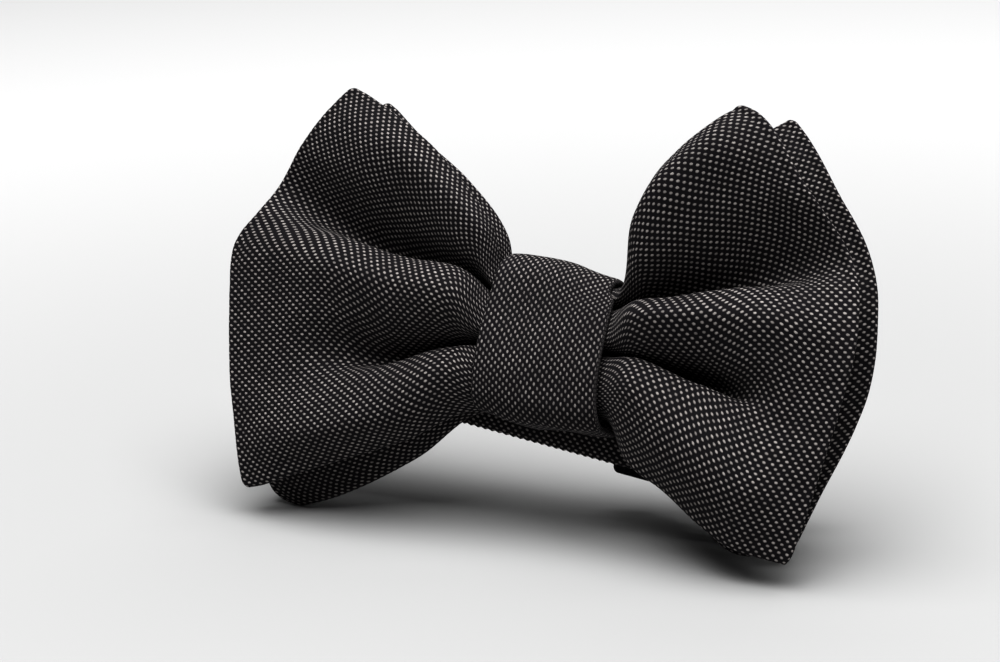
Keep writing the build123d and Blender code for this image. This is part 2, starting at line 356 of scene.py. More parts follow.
def plain_material(name, dark, light, rough, scale, bump_height, metallic=0.0, coat=0.0, stretch=(1, 1, 1)):
    """Canvas, thread and metal: two tones mixed by noise, with matching roughness and bump."""
    m, nodes, links = material(name)
    g = Graph(nodes, links)
    where = nodes.new("ShaderNodeTexCoord")
    mapping = nodes.new("ShaderNodeMapping")
    mapping.inputs["Scale"].default_value = stretch
    links.new(where.outputs["Object"], mapping.inputs[0])
    grain = g.noise(mapping.outputs[0], scale, 4.0, 0.6)
    colour = g.mix(grain, dark, light)
    bump = nodes.new("ShaderNodeBump")
    bump.inputs["Strength"].default_value = 0.5
    bump.inputs["Distance"].default_value = bump_height
    links.new(grain, bump.inputs["Height"])
    shader = nodes.new("ShaderNodeBsdfPrincipled")
    shader.inputs["Metallic"].default_value = metallic
    shader.inputs["Coat Weight"].default_value = coat
    links.new(g.step(grain, 0.3, 0.8, rough * 0.8, rough * 1.2), shader.inputs["Roughness"])
    links.new(colour, shader.inputs["Base Color"])
    links.new(bump.outputs[0], shader.inputs["Normal"])
    out = nodes.new("ShaderNodeOutputMaterial")
    links.new(shader.outputs[0], out.inputs[0])
    return m


CLOTH = birdseye_cloth("birdseye_cloth")
# The knot's copy of the cloth has its dots at another slant and dimmed to 0.85: painted shade.
KNOT_CLOTH_PAINTED_SHADE = birdseye_cloth("birdseye_cloth_knot_painted_shade", dot_painted_light=0.85, slant=-0.05)
THREAD = plain_material(
    "dark_thread", (0.008, 0.008, 0.010, 1), (0.05, 0.045, 0.05, 1), 0.7, 2600, 0.00005
)
CANVAS = plain_material(
    "canvas", (0.030, 0.029, 0.030, 1), (0.085, 0.080, 0.078, 1), 0.9, 1800, 0.00006, stretch=(1, 3, 1)
)
METAL = plain_material(
    "black_nickel", (0.012, 0.012, 0.014, 1), (0.035, 0.034, 0.038, 1), 0.28, 900, 0.000008,
    metallic=0.9, coat=0.3,
)


# ---------------------------------------------------------------- the bow's two layers

# Each wing is a net: stations run from the waist out to the wing's seam, lines run from the top
# edge to the bottom edge. A crest is the front of a lobe, a ridge is the lip above it, a valley
# lies deep behind the lip. Points are (x, y, z), and the lines are, in order: top edge, crest and
# body; upper valley; middle ridge, crest and body; lower valley; bottom ridge, crest, body and edge.

SEAM_INSET = 1.4            # the stitched line runs this far inside a wing's end
RIM_WRAP = 0.8              # cloth from a sheet's edge to the middle of its rolled rim
CORNER_RADIUS = 2.0         # of a wing's corner, before each corner's own scale

# Samples between stations, from the left seam to the right seam: close together near the seams.
ALONG = (24, 12, 10, 7, 3, 3, 3, 7, 10, 12, 24)

# The gathered waist inside the knot, the same for both wings: (y, z) of each line.
WAIST = ((-2.0, 10.2), (-3.6, 9.6), (-4.4, 7.6), (-1.0, 6.2), (-4.6, 5.6), (-5.6, 3.4),
         (-6.2, 0.6), (-1.0, -1.6), (-5.6, -2.4), (-6.6, -5.4), (-6.2, -9.4), (-2.5, -12.4))

FRONT_LEFT = (
    ((-13.4, -5.0, 18.9), (-14.0, -8.6, 17.8), (-15.0, -7.6, 13.6), (-15.5, 1.0, 7.0),
     (-15.5, -8.2, 9.4), (-16.0, -11.2, 6.4), (-16.0, -10.2, 1.8), (-16.0, -0.5, -3.0),
     (-16.0, -8.4, -2.6), (-16.0, -10.8, -6.6), (-15.5, -9.0, -11.0), (-14.8, -4.5, -13.8)),
    ((-22.5, -6.0, 28.8), (-23.5, -9.6, 26.4), (-26.0, -7.2, 19.4), (-28.0, 2.0, 9.2),
     (-28.0, -8.4, 12.2), (-29.0, -12.4, 8.0), (-30.0, -9.6, 0.5), (-29.5, -2.2, -6.2),
     (-29.0, -8.4, -7.4), (-28.5, -11.2, -11.5), (-28.0, -11.8, -16.5), (-26.5, -6.0, -20.6)),
    ((-33.5, -7.0, 36.6), (-35.5, -9.6, 33.6), (-39.5, -8.6, 26.4), (-45.0, -2.4, 16.6),
     (-46.5, -8.6, 15.6), (-47.6, -11.9, 11.0), (-48.0, -10.6, 3.0), (-47.5, -9.0, -6.4),
     (-47.0, -9.6, -11.5), (-46.4, -10.9, -16.4), (-45.4, -11.4, -21.8), (-43.0, -6.9, -26.8)),
    ((-43.2, -6.5, 41.4), (-46.2, -7.2, 38.0), (-51.6, -7.6, 30.6), (-56.0, -5.6, 23.0),
     (-58.2, -8.4, 17.4), (-61.4, -9.2, 12.0), (-61.3, -9.8, 3.5), (-60.4, -9.3, -5.0),
     (-59.6, -9.2, -11.0), (-58.6, -9.1, -16.0), (-57.0, -8.5, -23.4), (-55.0, -7.0, -31.2)),
)
FRONT_RIGHT = (
    ((12.4, -5.0, 21.8), (13.6, -9.2, 20.8), (15.2, -8.8, 14.6), (15.5, 1.0, 5.8),
     (15.5, -8.4, 8.0), (15.8, -11.3, 5.4), (16.0, -10.4, 1.6), (16.0, 0.0, -3.2),
     (16.0, -8.8, -1.8), (16.0, -11.2, -5.6), (15.8, -9.6, -11.5), (15.2, -4.8, -18.4)),
    ((17.2, -7.5, 31.2), (18.6, -11.2, 29.2), (23.0, -8.8, 20.6), (25.5, 2.0, 8.4),
     (26.0, -8.6, 10.2), (26.6, -12.4, 6.6), (27.0, -9.5, 0.8), (27.0, -0.6, -5.6),
     (26.8, -8.8, -4.8), (26.5, -11.4, -9.0), (26.0, -12.2, -17.0), (24.5, -6.4, -24.0)),
    ((23.6, -8.0, 37.2), (25.5, -10.6, 35.4), (32.0, -7.8, 26.5), (38.5, -1.4, 13.8),
     (40.0, -8.2, 11.6), (41.0, -11.2, 7.4), (41.5, -9.9, 0.5), (41.0, -8.6, -6.5),
     (40.5, -9.0, -9.8), (40.0, -10.4, -14.0), (38.5, -11.6, -21.5), (36.0, -7.4, -30.2)),
    ((29.4, -6.5, 41.6), (32.6, -7.2, 40.2), (41.5, -7.8, 29.3), (50.0, -5.4, 17.6),
     (52.6, -7.6, 12.4), (53.4, -8.4, 8.0), (53.4, -8.8, 1.5), (52.3, -8.4, -5.0),
     (51.4, -8.6, -9.5), (50.6, -8.8, -13.5), (48.8, -8.4, -22.0), (46.0, -7.3, -32.1)),
)
# The back layer's seams, which end further in or out than the front layer's.
BACK_LEFT_TIP = ((-41.2, 3.0, 40.6), (-43.0, 2.4, 37.6), (-47.5, 1.8, 30.6), (-53.0, 2.2, 21.5),
                 (-56.5, 1.8, 16.0), (-58.6, 1.4, 11.5), (-59.3, 1.4, 4.0), (-58.8, 1.8, -4.0),
                 (-58.2, 1.8, -11.0), (-57.6, 1.6, -18.0), (-56.8, 2.0, -27.6), (-52.4, 2.6, -34.4))
BACK_RIGHT_TIP = ((35.3, 3.0, 41.4), (38.6, 2.4, 37.8), (45.0, 1.8, 28.6), (50.8, 2.0, 19.6),
                  (53.0, 1.8, 13.8), (53.8, 1.4, 8.4), (54.0, 1.4, 2.0), (53.3, 1.6, -4.0),
                  (51.9, 1.8, -8.8), (50.3, 1.6, -13.6), (47.2, 2.0, -21.0), (43.6, 2.6, -30.3))


def layer_net(left, right, waist, swell):
    """One net from the left seam through the waist to the right seam; the mouths swell forward."""
    inside = []
    for x, share in ((-10.4, 1.0), (-4.0, 0.0), (4.0, 0.0), (10.4, 1.0)):
        inside.append([(x, y - swell * share if y < -4 else y, z) for y, z in waist])
    return list(reversed([list(row) for row in left])) + inside + [list(row) for row in right]


def back_wing(front, tip):
    """The back layer nests behind the front one, with shallower folds, a lower top and a lower hem."""
    rows = []
    for i, row in enumerate(front[:-1]):
        share = (i + 1) / len(front)
        hem = row[-1][2]
        new = []
        for (x, y, z), (end_x, _, end_z), (tip_x, _, tip_z) in zip(row, front[-1], tip):
            depth = 0.6 + (y + 8.0) * 0.30
            drop = 0.06 * z if z > 0 else (6.0 * max(0.0, share - 0.3) - 1.0 + share) * z / hem
            pull = share * share
            new.append((x + (tip_x - end_x) * pull, depth, z - drop + (tip_z - end_z) * pull))
        rows.append(tuple(new))
    return tuple(rows) + (tip,)


def round_corners(grid, radius, corners):
    """Draws the sheet in at its corners. Each corner is its end along, its end across and its scale."""
    along = arc_share(grid, 0) * np.linalg.norm(np.diff(grid, axis=0), axis=-1).sum(0)[None, :]
    total_along = along[-1][None, :]
    across = arc_share(grid, 1) * np.linalg.norm(np.diff(grid, axis=1), axis=-1).sum(1)[:, None]
    total_across = across[:, -1][:, None]
    di = np.gradient(grid, axis=0)
    dj = np.gradient(grid, axis=1)
    di /= np.linalg.norm(di, axis=-1, keepdims=True) + 1e-9
    dj /= np.linalg.norm(dj, axis=-1, keepdims=True) + 1e-9
    moved = grid.copy()
    for end_i, end_j, scale in corners:
        r = radius * scale
        a = along if end_i == 0 else total_along - along
        b = across if end_j == 0 else total_across - across
        near_a = np.clip((r - a) / r, 0, 1)
        near_b = np.clip((r - b) / r, 0, 1)
        step_a = near_a - near_a * np.sqrt(1 - near_b ** 2 / 2)
        step_b = near_b - near_b * np.sqrt(1 - near_a ** 2 / 2)
        sign_i = 1 if end_i == 0 else -1
        sign_j = 1 if end_j == 0 else -1
        moved += di * (sign_i * r * step_a)[..., None] + dj * (sign_j * r * step_b)[..., None]
    return moved


def pouch_depth(front, thick_waist, thick_wing):
    """Distance between a pouch's two sheets: thin in the knot, and pinched along the edges."""
    reach = np.abs(front[..., 0])
    thick = thick_waist + (thick_wing - thick_waist) * smooth_step(11, 26, reach)
    rows, cols = front.shape[:2]
    i = np.arange(rows)[:, None]
    j = np.arange(cols)[None, :]
    pinch_ends = 0.45 + 0.55 * smooth_step(0, 7, np.minimum(i, rows - 1 - i))
    pinch_sides = 0.75 + 0.25 * smooth_step(0, 6, np.minimum(j, cols - 1 - j))
    return thick * pinch_ends * pinch_sides


def rim(edge_front, edge_back, inner, size):
    """Points halfway between two edges and size outside them; inner is the row next to the front edge."""
    out = edge_front - inner
    out /= np.linalg.norm(out, axis=-1, keepdims=True) + 1e-9
    return (edge_front + edge_back) / 2 + out * size[..., None]


def pouch_faces(rows, cols):
    """Faces over the front sheet, the back sheet, and the top, low, left and right rims, in vertex order.

    The second result tells, for the faces from a rim to the back sheet, which way the cloth has turned.
    """
    count = rows * cols
    top = 2 * count
    low = top + rows
    left = low + rows
    right = left + cols - 2
    left_ring = [top] + [left + j for j in range(cols - 2)] + [low]
    right_ring = [top + rows - 1] + [right + j for j in range(cols - 2)] + [low + rows - 1]
    faces = []
    turned = {}
    for i in range(rows - 1):
        for j in range(cols - 1):
            p = i * cols + j
            faces.append((p, p + 1, p + cols + 1, p + cols))
            faces.append((p + count, p + count + cols, p + count + cols + 1, p + count + 1))
        p, q = i * cols, (i + 1) * cols
        faces.append((p, q, top + i + 1, top + i))
        turned[len(faces)] = (0, -1)
        faces.append((top + i, top + i + 1, q + count, p + count))
        p, q = p + cols - 1, q + cols - 1
        faces.append((q, p, low + i, low + i + 1))
        turned[len(faces)] = (0, 1)
        faces.append((low + i + 1, low + i, p + count, q + count))
    last = (rows - 1) * cols
    for j in range(cols - 1):
        faces.append((j + 1, j, left_ring[j], left_ring[j + 1]))
        turned[len(faces)] = (-1, 0)
        faces.append((left_ring[j + 1], left_ring[j], j + count, j + 1 + count))
        p = last + j
        faces.append((p, p + 1, right_ring[j + 1], right_ring[j]))
        turned[len(faces)] = (1, 0)
        faces.append((right_ring[j], right_ring[j + 1], p + 1 + count, p + count))
    return faces, turned


def pouch_uvs(front, faces, turned):
    """One UV for each face corner. Round a rim the cloth runs on from the front sheet to the back's edge."""
    count = front.shape[0] * front.shape[1]
    u = arc_share(front, 0) * mean_length(front, 0)
    v = arc_share(front, 1) * CLOTH_WIDTH
    uvs = np.concatenate([
        np.stack([u, v], -1).reshape(-1, 2),
        np.stack([u, 2 * CLOTH_WIDTH - v], -1).reshape(-1, 2),
        np.stack([u[:, 0], v[:, 0] - RIM_WRAP], -1),
        np.stack([u[:, -1], v[:, -1] + RIM_WRAP], -1),
        np.stack([u[0] - RIM_WRAP, v[0]], -1)[1:-1],
        np.stack([u[-1] + RIM_WRAP, v[-1]], -1)[1:-1],
    ])
    corner_uvs = []
    for k, face in enumerate(faces):
        run_on = 2 * RIM_WRAP * np.array(turned.get(k, (0, 0)))
        for corner in face:
            if k in turned and count <= corner < 2 * count:
                corner_uvs.append(uvs[corner - count] + run_on)
            else:
                corner_uvs.append(uvs[corner])
    return corner_uvs


def pouch(name, net, along, across, thick_waist, thick_wing, roughen, corners):
    """A flattened cloth tube: a front sheet, a back sheet behind it and rolled edges between them."""
    front = round_corners(sheet(net, along, across), CORNER_RADIUS, corners)
    n = normals_of(front)
    if n[..., 1].mean() > 0:
        n = -n
    front = front + n * (roughen(front) - seam_groove(front))[..., None]
    depth = pouch_depth(front, thick_waist, thick_wing)
    back = front - n * depth[..., None]
    half = depth / 2
    points = [
        front.reshape(-1, 3),
        back.reshape(-1, 3),
        rim(front[:, 0], back[:, 0], front[:, 1], half[:, 0]),
        rim(front[:, -1], back[:, -1], front[:, -2], half[:, -1]),
        rim(front[0], back[0], front[1], half[0])[1:-1],
        rim(front[-1], back[-1], front[-2], half[-1])[1:-1],
    ]
    faces, turned = pouch_faces(*front.shape[:2])
    uvs = pouch_uvs(front, faces, turned)
    obj = new_mesh(name, to_row(np.concatenate(points)), faces, uvs, CLOTH)
    return obj, front, back


def from_seams(grid):
    """Distance of each point from the nearer end seam, along the cloth."""
    along = np.cumsum(np.linalg.norm(np.diff(grid, axis=0, prepend=grid[:1]), axis=-1), axis=0)
    return np.minimum(along, along[-1][None, :] - along)


def seam_groove(grid):
    """The stitched line just inside each seam, with small puckers running off it."""
    d = from_seams(grid)
    groove = 0.22 * np.exp(-((d - SEAM_INSET) / 0.45) ** 2)
    pucker = ripple(grid * np.array([0.6, 0.6, 1.5]), 2.6, 0.16, 21.0) * np.exp(-((d - 2.0) / 2.6) ** 2)
    return groove + pucker


def front_dents(grid):
    """Soft dents in the front layer, none inside the knot."""
    outside = smooth_step(12, 20, np.abs(grid[..., 0]))
    return (ripple(grid, 15.0, 0.9) + ripple(grid, 6.0, 0.25, 3.1)) * outside


def back_dents(grid):
    """Shallower dents in the back layer."""
    outside = smooth_step(12, 20, np.abs(grid[..., 0]))
    return (ripple(grid, 17.0, 0.6, 9.0) + ripple(grid, 6.0, 0.15, 5.1)) * outside


def build_interfacing(name, front, back, node):
    """The stiffener sheet halfway between a pouch's two sheets, short of its edges."""
    a = front[6:-6, 5:-5]
    b = back[6:-6, 5:-5]
    near = a + (b - a) * 0.40
    far = a + (b - a) * 0.60
    rows, cols = near.shape[:2]
    count = rows * cols
    faces = []
    for i in range(rows - 1):
        for j in range(cols - 1):
            p = i * cols + j
            faces.append((p, p + 1, p + cols + 1, p + cols))
            q = p + count
            faces.append((q, q + cols, q + cols + 1, q + 1))
    border = [j for j in range(cols)]
    border += [i * cols + cols - 1 for i in range(1, rows)]
    border += [(rows - 1) * cols + j for j in range(cols - 2, -1, -1)]
    border += [i * cols for i in range(rows - 2, 0, -1)]
    for p, q in zip(border, border[1:] + border[:1]):
        faces.append((q, p, p + count, q + count))
    points = np.concatenate([near.reshape(-1, 3), far.reshape(-1, 3)])
    obj = new_mesh(name, to_row(points), faces, points[:, [0, 2]], CANVAS)
    carry(obj, "bow", node)


def build_front_bow():
    net = layer_net(FRONT_LEFT, FRONT_RIGHT, WAIST, 1.0)
    corners = ((0, 0, 0.3), (0, 1, 0.5), (1, 0, 0.3), (1, 1, 0.3))
    obj, front, back = pouch("front_bow", net, ALONG, 9, 1.0, 2.2, front_dents, corners)
    subdivide(obj)
    carry(obj, "bow", "front_bow_cloth")
    build_interfacing("front_stiffener", front, back, "front_bow_interfacing")


def build_back_bow():
    waist = [(1.7 + (y + 3.5) * 0.45, z) for y, z in WAIST]
    left = back_wing(FRONT_LEFT, BACK_LEFT_TIP)
    right = back_wing(FRONT_RIGHT, BACK_RIGHT_TIP)
    net = layer_net(left, right, waist, 0.0)
    corners = ((0, 0, 0.4), (0, 1, 2.2), (1, 0, 0.4), (1, 1, 0.6))
    obj, front, back = pouch("back_bow", net, ALONG, 8, 1.0, 2.0, back_dents, corners)
    subdivide(obj)
    carry(obj, "bow", "back_bow_cloth")
    build_interfacing("back_stiffener", front, back, "back_bow_interfacing")


# ---------------------------------------------------------------- the knot

# The knot's outline from the side, a closed loop of (y, z) that starts under the knot.
KNOT_RING = ((-3.2, -14.6), (-7.0, -14.0), (-9.0, -11.8), (-9.6, -8.0), (-9.5, -4.0), (-8.8, 0.5),
             (-7.6, 4.6), (-6.5, 8.4), (-5.4, 11.4), (-3.6, 13.5), (-1.0, 14.5), (2.6, 14.3),
             (6.4, 13.0), (8.3, 10.0), (8.7, 0.0), (8.3, -9.4), (6.6, -13.0), (2.4, -14.6))
KNOT_WALL = 0.85            # the folded cloth of the knot
KNOT_LINER = 0.4            # the stiffener under it
EDGE_SPAN = 23.0            # the knot's width, for the roll of its edges
KNOT_BACK_SHIFT = 40        # puts the inside's dots out of step with the outside's


def knot_half_widths(z):
    """Left and right edges of the knot at height z."""
    left = -12.3 + 0.6 * smooth_step(-4, 14, z)
    right = 10.8 + 0.4 * smooth_step(-7, -14, z) - 1.4 * smooth_step(8.5, 13, z)
    return left, right


def knot_sag(x, z):
    """How far the knot's top and bottom edges leave the level at x."""
    top = -2.9 * smooth_step(-5, 10, x)
    low = 1.2 * smooth_step(-2, -12, x) - 0.2 * smooth_step(0, 10, x)
    return top * smooth_step(4, 14, z) + low * smooth_step(-4, -14, z)


def knot_outline():
    """The closed ring of the knot in the plane x = 0, and the outward direction at each point."""
    ring = closed_spline([(0.0, y, z) for y, z in KNOT_RING], 9)
    count = len(ring)
    centre = ring.mean(0)
    tangent = np.roll(ring, -1, 0) - np.roll(ring, 1, 0)
    outward = np.stack([np.zeros(count), tangent[:, 2], -tangent[:, 1]], 1)
    outward /= np.linalg.norm(outward, axis=1, keepdims=True)
    if ((ring - centre) * outward).sum() < 0:
        outward = -outward
    return ring, outward


def build_knot():
    ring, outward = knot_outline()
    across = 34
    left, right = knot_half_widths(ring[:, 2])
    rows = []
    for i in range(across + 1):
        t = i / across
        x = left + (right - left) * t
        near_edge = min(t, 1 - t) * EDGE_SPAN
        roll = -0.3 * (1 - smooth_step(0, 1.0, near_edge)) + 0.15 * smooth_step(1.0, 4.0, near_edge)
        p = ring.copy()
        p[:, 0] = x
        p[:, 2] += knot_sag(x, ring[:, 2])
        p = p + outward * roll
        rows.append(p)
    outer = np.array(rows)
    outer = outer + outward[None] * (ripple(outer, 7.0, 0.35, 2.0))[..., None]
    inner = outer - outward[None] * KNOT_WALL
    arc = np.concatenate([[0], np.cumsum(np.linalg.norm(np.diff(ring, axis=0), axis=1))])
    total = arc[-1] + np.linalg.norm(ring[0] - ring[-1])
    # the ring is closed, so a copy of its first column carries the last UV
    cols = len(ring) + 1
    outer = np.concatenate([outer, outer[:, :1]], 1)
    inner = np.concatenate([inner, inner[:, :1]], 1)
    arc = np.append(arc, total)
    width = outer[:, :, 0]
    uv_outer = np.stack([np.broadcast_to(arc, width.shape), width], -1)
    uv_inner = np.stack([np.broadcast_to(arc, width.shape), -width + KNOT_BACK_SHIFT], -1)
    grid = np.concatenate([outer, inner[::-1]], 0)
    uv = np.concatenate([uv_outer, uv_inner[::-1]], 0)
    n_rows = grid.shape[0]
    faces = []
    for i in range(n_rows):
        k = (i + 1) % n_rows
        for j in range(cols - 1):
            faces.append((i * cols + j, i * cols + j + 1, k * cols + j + 1, k * cols + j))
    obj = new_mesh("knot", to_row(grid), faces, uv.reshape(-1, 2), KNOT_CLOTH_PAINTED_SHADE)
    weld(obj)
    subdivide(obj)
    carry(obj, "bow", "knot_band")
    points, faces = closed_band(outer[7:-7, :-1] - outward[None] * (KNOT_WALL + 0.12), outward, KNOT_LINER)
    obj = new_mesh("knot_stiffener", to_row(points), faces, points[:, [0, 2]], CANVAS)
    carry(obj, "bow", "knot_interfacing")
    wind_waist(ring, outward)


def wind_waist(ring, outward):
    """Thread wound round the gathered waist inside the knot: closed turns side by side."""
    path = ring - outward * 1.7
    path[:, 1] = np.minimum(path[:, 1], 4.6)
    path[:, 2] = np.minimum(path[:, 2], 12.3)
    radius = 0.25
    turns = 6
    pitch = 0.7
    sides = 8
    points = []
    faces = []
    for turn in range(turns):
        first = turn * len(path) * sides
        for k, p in enumerate(path):
            following = (k + 1) % len(path)
            for side in range(sides):
                angle = 2 * math.pi * side / sides
                beside = (turn - (turns - 1) / 2) * pitch + radius * math.sin(angle)
                points.append(p + radius * math.cos(angle) * outward[k] + (beside, 0, 0))
                near = (side + 1) % sides
                faces.append((
                    first + k * sides + side, first + k * sides + near,
                    first + following * sides + near, first + following * sides + side,
                ))
    points = np.array(points)
    obj = new_mesh("waist_winding", to_row(points), faces, points[:, [0, 2]], THREAD)
    carry(obj, "bow", "waist_thread")


def closed_band(outer, outward, wall):
    """Points and faces of a loop of sheet with a wall thickness."""
    grid = np.concatenate([outer, (outer - outward[None] * wall)[::-1]], 0)
    rows, cols = grid.shape[:2]
    faces = []
    for i in range(rows):
        k = (i + 1) % rows
        for j in range(cols):
            m = (j + 1) % cols
            faces.append((i * cols + j, i * cols + m, k * cols + m, k * cols + j))
    return grid.reshape(-1, 3), faces


# ---------------------------------------------------------------- the neckband

BAND_WIDTH = 20.0
PLY = 1.4                   # visible thickness of a ply, a little under the CAD's 1.6
CENTER_Y = 6.2              # the plies, from the one through the knot to the strap's return
INNER_Y = 10.4
MIDDLE_Y = 12.5
OUTER_Y = 14.6
RETURN_Y = 16.4
WRAP_Y = 19.2               # the strap's end over the slider's middle bar
FOLD_START_X = FOLD_X + 0.6
JOIN_X = -30.0              # where the strap's pieces meet, on the flat of the plies
HOOK_END_X = 23.0           # where the outer ply passes to the hook end
EYE_BAR = (39.0, 8.1)       # the bars that the strap turns round, (x, y)
HOOK_BAR = (30.0, 16.5)
SLIDER_X = 14.0
BAR_TURN = 1.9              # middle radius of the cloth turned round a bar
EDGE_TOOTH = 0.36           # how far a dot swells the strap's edge


def arc_points(x, y, radius, a0, a1, count):
    """Points on an arc in the X-Y plane, angles in degrees from +X."""
    angles = np.radians(np.linspace(a0, a1, count))
    return [(x + radius * math.cos(a), y + radius * math.sin(a)) for a in angles]


def straight(x0, x1, y, spacing=DOT_LONG / 4):
    count = max(2, int(abs(x1 - x0) / spacing))
    return [(x, y) for x in np.linspace(x0, x1, count + 1)]


def join(*runs):
    path = []
    for run in runs:
        for p in run:
            if not path or math.hypot(p[0] - path[-1][0], p[1] - path[-1][1]) > 1e-4:
                path.append(p)
    return np.array(path, float)


def ribbon(name, path, start_length, place, width=BAND_WIDTH, thick=PLY, cap=(True, True)):
    """A flat cloth strap swept along a path in X-Y, then put in place; also gives the length reached."""
    steps = np.linalg.norm(np.diff(path, axis=0), axis=1)
    along = start_length + np.concatenate([[0], np.cumsum(steps)])
    tangent = np.gradient(path, axis=0)
    tangent /= np.linalg.norm(tangent, axis=1, keepdims=True) + 1e-9
    side = np.stack([-tangent[:, 1], tangent[:, 0]], 1)
    half = thick / 2
    lanes = np.linspace(-width / 2 + half, width / 2 - half, 17)
    shoulder = width / 2 - half * 0.25
    section = [(z, half) for z in lanes]
    section += [(shoulder, half * 0.72), (width / 2, 0.0), (shoulder, -half * 0.72)]
    section += [(z, -half) for z in lanes[::-1]]
    section += [(-shoulder, -half * 0.72), (-width / 2, 0.0), (-shoulder, half * 0.72)]
    section = np.array(section)
    seg = np.linalg.norm(np.diff(np.vstack([section, section[:1]]), axis=0), axis=1)
    around = np.concatenate([[0], np.cumsum(seg)])
    section = np.vstack([section, section[:1]])
    points = []
    uvs = []
    for p, s, a in zip(path, side, along):
        tooth = EDGE_TOOTH * abs(math.sin(math.pi * a / DOT_LONG))
        for (z, d), w in zip(section, around):
            edge = math.copysign(tooth, z) if abs(z) > width / 2 - 0.1 else 0.0
            points.append((p[0] + s[0] * d, p[1] + s[1] * d, z + edge))
            uvs.append((a, w))
    cols = len(section)
    rows = len(path)
    faces = []
    for i in range(rows - 1):
        for j in range(cols - 1):
            a = i * cols + j
            faces.append((a, a + cols, a + cols + 1, a + 1))
    for i, wanted in ((0, cap[0]), (rows - 1, cap[1])):
        if wanted:
            loop = [i * cols + j for j in range(cols - 1)]
            faces.append(tuple(loop if i == 0 else loop[::-1]))
    obj = new_mesh(name, to_row(place(points)), faces, uvs, CLOTH)
    weld(obj)
    return obj, along[-1]


def row_point(x, y, z=0.0, place=level):
    return tuple(to_row(place([(x, y, z)]))[0])


def turning(points):
    """Level at the centre ply, downhill at the inner ply, turning between them through the fold."""
    p = np.array(points, float)
    share = smooth_step(CENTER_Y + PLY / 2, INNER_Y - PLY / 2, p[:, 1])[:, None]
    return level(p) * (1 - share) + downhill(p) * share


def fold_arc(x, y_first, y_second, start, count):
    """Half circle of strap between two plies, from the first to the second."""
    return arc_points(x, (y_first + y_second) / 2, (y_second - y_first) / 2, start, 90, count)


def bend(piece, first, second, x, y_first, y_second, gap):
    """Bakes a piece's placement into its mesh."""
    start = row_point(x, y_first + PLY / 2 + gap)
    end = row_point(x, y_second - PLY / 2 - gap)
    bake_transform(piece)


def build_center_ply():
    """The strap's tail end over the eye's bar, then the centre ply through the knot."""
    tail_y = CENTER_Y + PLY + 0.35
    path = join(
        straight(29.0, 34.5, tail_y),
        [(35.6, tail_y + 0.25), (36.8, tail_y + 1.0), (37.8, EYE_BAR[1] + BAR_TURN - 0.1)],
        arc_points(EYE_BAR[0], EYE_BAR[1], BAR_TURN, 90, -90, 12),
        straight(EYE_BAR[0], JOIN_X, CENTER_Y),
    )
    piece, length = ribbon("neckband_center", path, 0.0, level, cap=(True, False))
    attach(piece, "bow")
    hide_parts("neckband_center_cloth", "tail_loop_cloth")
    return length


def build_fold_1(length):
    """The left fold between the centre ply and the inner ply, where the strap also starts downhill."""
    path = join(
        straight(JOIN_X, FOLD_START_X, CENTER_Y),
        fold_arc(FOLD_START_X, CENTER_Y, INNER_Y, 270, 14),
        straight(FOLD_START_X, JOIN_X, INNER_Y),
    )
    piece, length = ribbon("neckband_fold_1", path, length, turning, cap=(False, False))
    bend(piece, "bow", "band_inner", FOLD_X, CENTER_Y, INNER_Y, 0.25)
    return length


def build_fold_2(length):
    """The inner ply, the right fold and the middle ply."""
    path = join(
        straight(JOIN_X, FOLD_RIGHT_X, INNER_Y),
        fold_arc(FOLD_RIGHT_X, INNER_Y, MIDDLE_Y, -90, 12),
        straight(FOLD_RIGHT_X, JOIN_X, MIDDLE_Y),
    )
    piece, length = ribbon("neckband_fold_2", path, length, downhill, cap=(False, False))
    bend(piece, "band_inner", "band_middle", 0, INNER_Y, MIDDLE_Y, 0.1)
    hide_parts("neckband_inner_cloth", "neckband_middle_cloth")
    return length


def build_fold_3(length):
    """The left fold between the middle ply and the outer ply."""
    path = join(
        straight(JOIN_X, FOLD_START_X, MIDDLE_Y),
        fold_arc(FOLD_START_X, MIDDLE_Y, OUTER_Y, 270, 12),
        straight(FOLD_START_X, JOIN_X, OUTER_Y),
    )
    piece, length = ribbon("neckband_fold_3", path, length, downhill, cap=(False, False))
    bend(piece, "band_middle", "band_outer", 0, MIDDLE_Y, OUTER_Y, 0.1)
    return length


def build_outer_ply(length):
    """The outer ply, from the strap's join to the hook end."""
    path = join(straight(JOIN_X, HOOK_END_X, OUTER_Y))
    piece, length = ribbon("neckband_outer", path, length, downhill, cap=(False, False))
    start = row_point(JOIN_X, OUTER_Y, 0, downhill)
    end = row_point(HOOK_END_X - 0.2, OUTER_Y, 0, downhill)
    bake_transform(piece)
    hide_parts("neckband_outer_cloth")
    return length


def build_hook_end(length):
    """The strap round the hook's bar and back towards the slider."""
    path = join(
        straight(HOOK_END_X, HOOK_BAR[0], OUTER_Y),
        arc_points(HOOK_BAR[0], HOOK_BAR[1], BAR_TURN, -90, 90, 12),
        [(28.8, HOOK_BAR[1] + BAR_TURN - 0.1), (27.4, RETURN_Y + 0.9), (26.0, RETURN_Y + 0.2)],
        straight(25.0, 9.4, RETURN_Y),
    )
    piece, _ = ribbon("neckband_hook_end", path, length, downhill, cap=(False, True))
    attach(piece, "hook_end")
    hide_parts("hook_loop_cloth")


def build_slide_wrap():
    """The strap's end, arched over the slider's middle bar."""
    left_half = [(-4.2, -1.3), (-3.4, -0.5), (-2.2, 0.1), (-1.0, 0.35)]
    right_half = [(-x, y) for x, y in reversed(left_half)]
    arch = left_half + [(0.0, 0.42)] + right_half
    path = spline(join([(SLIDER_X + x, WRAP_Y + y) for x, y in arch]), 3)
    piece, _ = ribbon("slide_wrap", path, 12.0, downhill, width=19.4, thick=0.9)
    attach(piece, "slider")
    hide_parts("slide_wrap_cloth")


